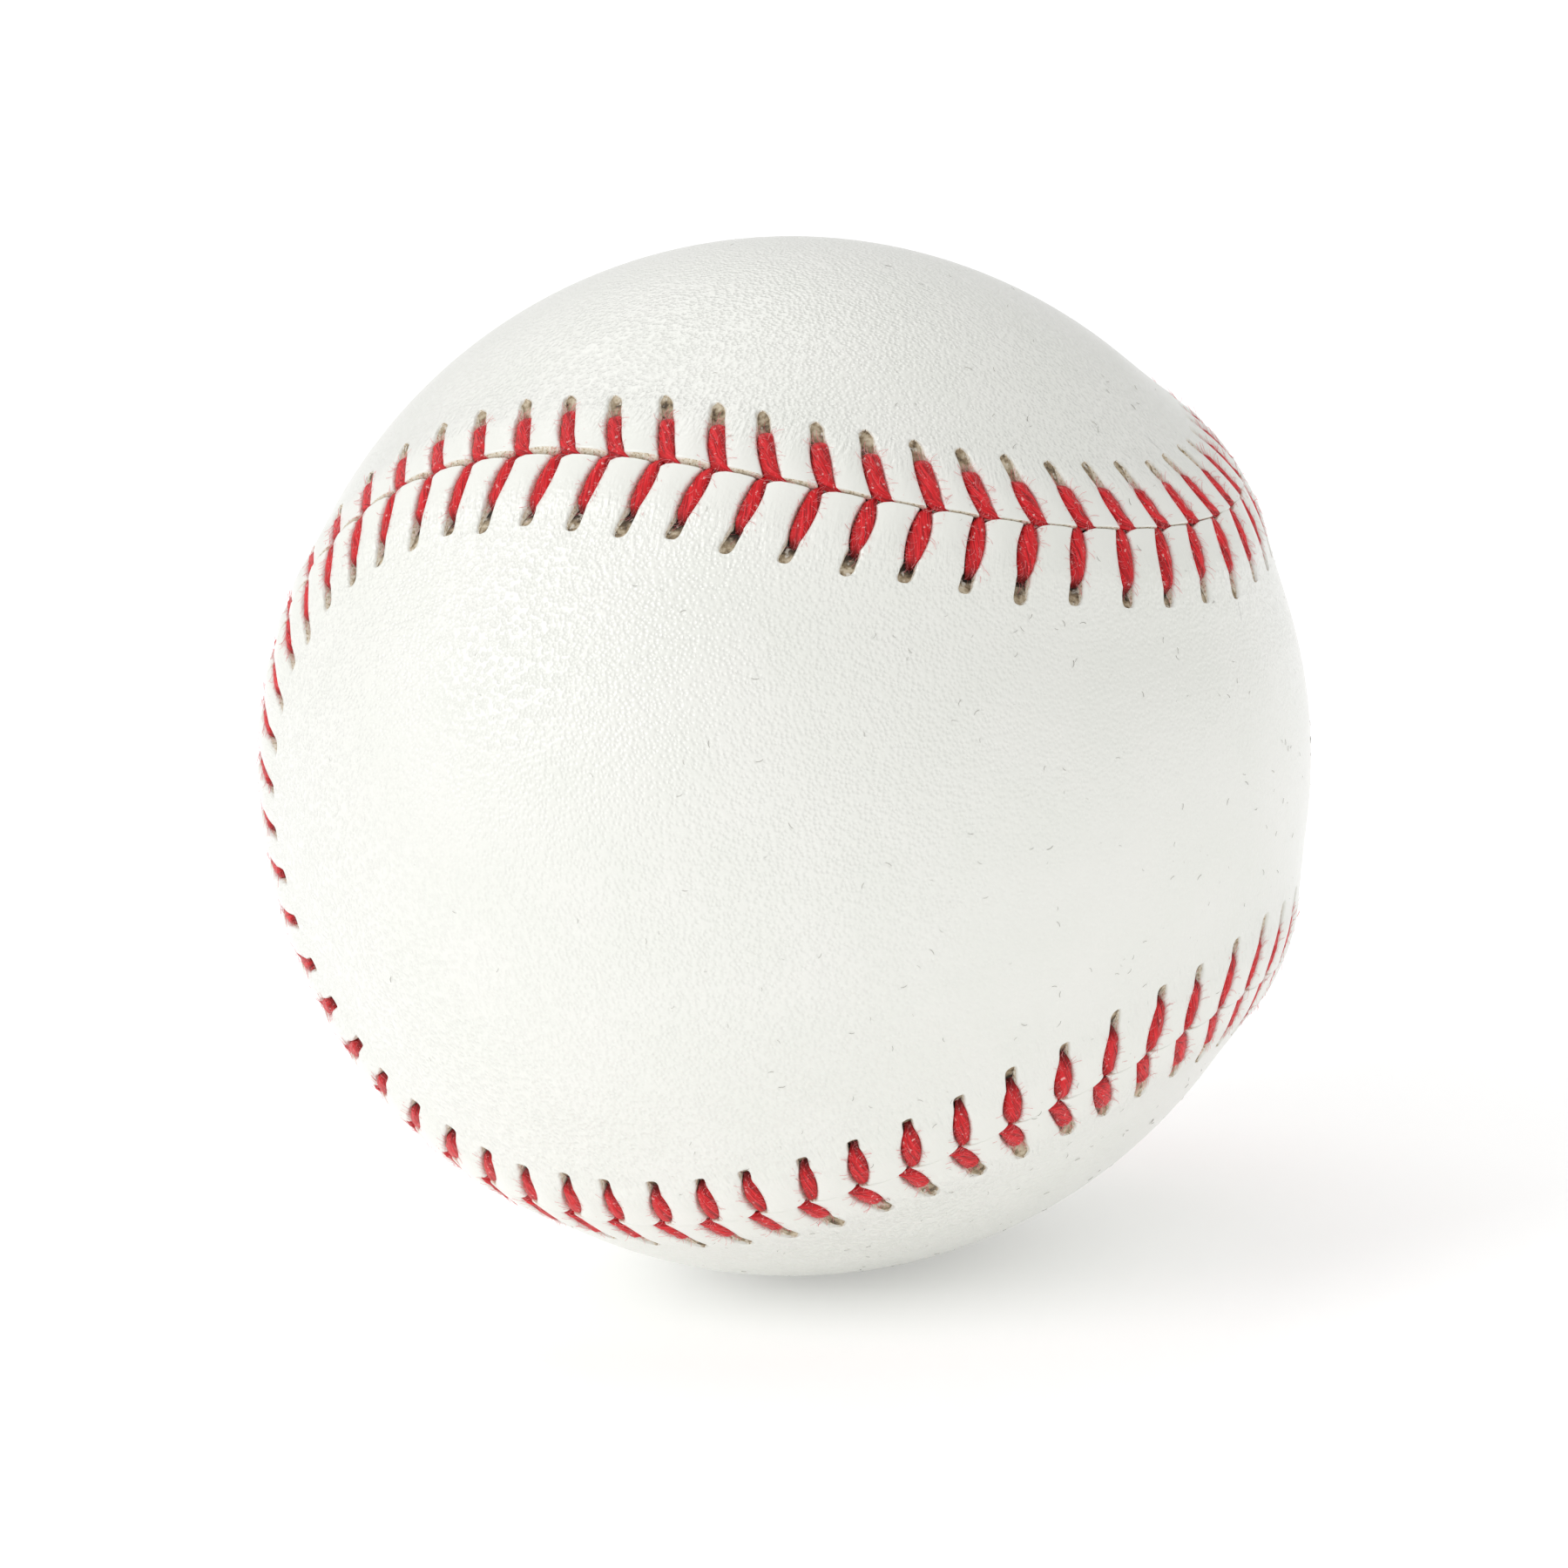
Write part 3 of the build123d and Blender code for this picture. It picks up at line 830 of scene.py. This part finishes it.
# The far end, where the thread goes down into its slot: distance past the end, share of width,
# depth and how far it is darkened, by cement stain and painted shade
SLOT_TURN = [
    (-0.45, 1.0, 0.27, 0.0),
    (-0.12, 0.92, 0.34, 0.2),
    (0.14, 0.72, 0.55, 0.6),
    (0.42, 0.42, 0.95, 0.9),
]
# How much the thread ends on each panel are darkened by cement stain and painted shade
SLOT_STAIN_AND_SHADE = {FRONT_BACK: 1.0, TOP_BOTTOM: 0.3}
STRAIGHT_STATIONS = 6
THREAD_DEPTH = 0.34
THREAD_UNEVEN = (0.93, 1.05)

# The threads lie a little off the middle of their grooves, drawn towards one side of the ball
THREAD_PULL = 0.07
PULL_SIDE = np.array([0.94, 0.33, -0.1])


def leg_paths(name, picks):
    """Edges along the middle line of each leg, with the thread's half width and the way it lies."""
    points, edges, halves, stain_and_shade_values, lies = [], [], [], [], []
    for side, pick in picks:
        legs = LEGS[side]
        end = legs.thread_end[pick]
        near = np.array(SEAM_TURN[side])
        far = np.array(SLOT_TURN)
        straight = np.linspace(near[-1, 0], end + far[0, 0], STRAIGHT_STATIONS + 2)[1:-1]
        plain = np.ones(STRAIGHT_STATIONS)
        distance = np.concatenate([near[:, 0], straight, end + far[:, 0]])
        shift = np.concatenate([near[:, 1], 0 * plain, 0 * far[:, 0]])
        share = np.concatenate([near[:, 2], plain, far[:, 1]])
        depth = np.concatenate([near[:, 3], THREAD_DEPTH * plain, far[:, 2]])
        # Darkening of the thread's end: cement stain and painted shade
        stain_and_shade = np.concatenate([0 * near[:, 0], 0 * plain, far[:, 3]]) * SLOT_STAIN_AND_SHADE[side]
        advance = legs.centre(np.maximum(distance, 0), pick) + shift
        _, tangent, _ = seam_frame(advance)
        advance = advance - THREAD_PULL * (tangent @ PULL_SIDE)
        half = legs.half_width(np.clip(distance, 0, end), pick)
        half = half * share * rng.uniform(*THREAD_UNEVEN, len(half))
        line = on_ball(advance, distance, side, seam_hump(distance) - depth)
        base = len(points)
        points += list(line * MM)
        edges += [(base + i, base + i + 1) for i in range(len(line) - 1)]
        halves += list(half * MM)
        stain_and_shade_values += list(stain_and_shade)
        lies += list(line / np.linalg.norm(line, axis=1, keepdims=True))
    mesh = bpy.data.meshes.new(name)
    mesh.from_pydata(points, edges, [])
    store(mesh, "half_width", halves)
    store(mesh, "stain_and_shade", stain_and_shade_values)
    layer = mesh.attributes.new("lie", "FLOAT_VECTOR", "POINT")
    layer.data.foreach_set("vector", np.asarray(lies, np.float32).reshape(-1))
    return mesh


def dress(piece, slot, *nodes):
    """Fixes a piece to the ball and hides the solids that it stands for. The slot is not used."""
    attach(piece, "root")
    if nodes:
        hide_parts(*nodes)


# Leather cover, with lint on it
FIBRES = fibre_tree()
HIDE = [white_cowhide(), raw_hide_edge(), slot_flesh()]
LINT = {
    "Fibre length": 0.42 * MM,
    "Fibre radius": 0.012 * MM,
    "Least tilt": -0.1,
    "Most tilt": 0.02,
    "Most turn": math.pi,
    "Least facing": 0.1,
    "Most facing": 2.0,
    "Density": 0.1 / MM**2,
    "Material": patterned("grey_lint", 0.5, [(0.3, "75716A"), (0.7, "A8A49A")], 0.9, 0.2),
}
for panel, side in (("front_back", FRONT_BACK), ("top_bottom", TOP_BOTTOM)):
    leather = leather_panel(f"leather_{panel}", side, HIDE)
    dress(leather, "leather", f"cover_{panel}")
    dress(grow(f"lint_{panel}", leather.data.copy(), FIBRES, LINT), "leather")

# Stitches: each needle's thread sews alternate sides of the seam
SEWN = thread_tree()
THREAD = {"Flatness": 0.62, "Material": red_thread()}
FUZZ = {
    "Fibre length": 0.8 * MM,
    "Fibre radius": 0.01 * MM,
    "Least tilt": -0.3,
    "Most tilt": -0.04,
    "Most turn": 0.9,
    "Least facing": 0.4,
    "Most facing": 0.93,
    "Density": 22.0 / MM**2,
    "Material": patterned("stray_cotton_fibre", 0.5, [(0.3, "DE5C62"), (0.7, "F2A8A8")], 0.7, 0.2),
}
for label, first_side in (("first", TOP_BOTTOM), ("second", FRONT_BACK)):
    picks = [(first_side if i % 2 == 0 else -first_side, i) for i in range(STITCH_COUNT)]
    sewn = grow(f"stitches_{label}", leg_paths(f"{label}_legs", picks), SEWN, THREAD)
    dress(sewn, "red_thread", f"thread_{label}")
    fuzzy = sewn.data.copy()
    store(fuzzy, "fibre_share", np.ones(len(fuzzy.vertices)))
    dress(grow(f"fuzz_{label}", fuzzy, FIBRES, FUZZ), "red_thread")

# Layers under the cover: name, grain in millimetres, shades, roughness and strength of the relief
INNER_LOOKS = {
    "cork": patterned("cork_and_rubber_crumb", 1.5, [(0.35, "6B4A2E"), (0.65, "B58A5C")], 0.85, 0.6),
    "inner_rubber": patterned("black_moulded_rubber", 0.8, [(0.3, "161616"), (0.7, "2A2A2A")], 0.6, 0.2),
    "outer_rubber": patterned("red_moulded_rubber", 0.8, [(0.3, "7E1612"), (0.7, "A62A22")], 0.6, 0.2),
    "grey_wool": patterned("four_ply_grey_wool", 1.2, [(0.3, "6E6C69"), (0.7, "A5A29D")], 0.95, 0.9),
    "white_wool": patterned("three_ply_white_wool", 1.0, [(0.3, "CFC8B8"), (0.7, "F0EBDE")], 0.95, 0.9),
    "finish_yarn": patterned("poly_cotton_finish_yarn", 0.4, [(0.3, "C4B9A4"), (0.7, "E9E2D2")], 0.9, 0.7),
    "cement": patterned("dried_rubber_cement", 2.0, [(0.3, "8A7C68"), (0.7, "B3A58F")], 0.45, 0.3),
}
for part in frame["record"]["subparts"]:
    look = INNER_LOOKS.get(part["material_slot"])
    if look:
        for slot in frame["nodes"][part["node"]].material_slots:
            slot.material = look

# White paper under the ball, with a faint glow of its own that lifts the ball's underside
FLOOR_HALF = 4000
PAPER_GLOW = 0.19
paper, paper_tree, _ = new_material("white_paper")
glow = {"Emission Color": (1, 1, 1, 1), "Emission Strength": PAPER_GLOW}
show(paper_tree, {"Base Color": linear("FAFAFA"), "Roughness": 0.9, **glow})
floor_mesh = bpy.data.meshes.new("floor")
corners = np.array([(-1, -1, 0), (1, -1, 0), (1, 1, 0), (-1, 1, 0)]) * FLOOR_HALF
corners = corners - (0, 0, BALL_RADIUS)
floor_mesh.from_pydata((corners * MM).tolist(), [], [(0, 1, 2, 3)])
floor_mesh.materials.append(paper)
place_mesh("floor", floor_mesh)

# Soft studio light: a white surround that gives less light from behind and from the right,
# a softbox on the left and a weaker one above. Seen directly, the surround is plain white.
DIM_SIDE = (0.75, 0.65, 0.0)
LEAST_SURROUND = 0.66
MOST_SURROUND = 0.89
world = bpy.data.worlds.new("white_surround")
world.use_nodes = True
sky = world.node_tree
sky.nodes.clear()
outwards = add(sky, "ShaderNodeTexCoord").outputs["Generated"]
dimmer = add(sky, "ShaderNodeVectorMath", {0: outwards, 1: DIM_SIDE}, operation="DOT_PRODUCT")
fade = {"Value": dimmer.outputs["Value"], "From Min": -1.0, "From Max": 1.0}
given = add(sky, "ShaderNodeMapRange", {**fade, "To Min": MOST_SURROUND, "To Max": LEAST_SURROUND})
seen = add(sky, "ShaderNodeLightPath").outputs["Is Camera Ray"]
strength = add(sky, "ShaderNodeMath", {0: given, 1: seen}, operation="MAXIMUM")
white = add(sky, "ShaderNodeBackground", {"Color": (1, 1, 1, 1), "Strength": strength})
add(sky, "ShaderNodeOutputWorld", {"Surface": white})
bpy.context.scene.world = world


def soft_light(name, towards, spread, strength):
    """A broad even light from one direction."""
    light = bpy.data.lights.new(name, "SUN")
    light.angle = math.radians(spread)
    light.energy = strength
    lamp = bpy.data.objects.new(name, light)
    lamp.rotation_euler = Vector(towards).to_track_quat("Z", "Y").to_euler()
    bpy.context.scene.collection.objects.link(lamp)


soft_light("key_softbox", towards=(-0.65, -0.58, 0.49), spread=32, strength=0.77)
soft_light("top_softbox", towards=(-0.3, 0.35, 0.88), spread=40, strength=0.38)

# Camera at the photograph's angle, with its slight roll and framing, which is in pixels
NEAREST_SEEN = 0.01
IMAGE_WIDTH_PX = 1800
FOCAL_PX = 7780
SENSOR_WIDTH = 36.0
CAMERA_DISTANCE = 13.07 * BALL_RADIUS
CAMERA_RIGHT = Vector((0.9372, 0.3334, -0.1025))
CAMERA_UP = Vector((0.0259, 0.2262, 0.9738))
BALL_RIGHT_PX = 8
BALL_ABOVE_PX = 32
back = CAMERA_RIGHT.cross(CAMERA_UP).normalized()
right = CAMERA_UP.cross(back).normalized()
up = back.cross(right)
per_px = CAMERA_DISTANCE / FOCAL_PX
stand = back * CAMERA_DISTANCE - right * BALL_RIGHT_PX * per_px - up * BALL_ABOVE_PX * per_px
camera_data = bpy.data.cameras.new("camera")
camera_data.sensor_width = SENSOR_WIDTH
camera_data.lens = FOCAL_PX * SENSOR_WIDTH / IMAGE_WIDTH_PX
camera_data.clip_start = NEAREST_SEEN
camera = bpy.data.objects.new("camera", camera_data)
turned = Matrix((right, up, back)).transposed().to_4x4()
camera.matrix_world = Matrix.Translation(stand * MM) @ turned
bpy.context.scene.collection.objects.link(camera)
bpy.context.scene.camera = camera
bpy.context.scene.view_settings.view_transform = "Standard"
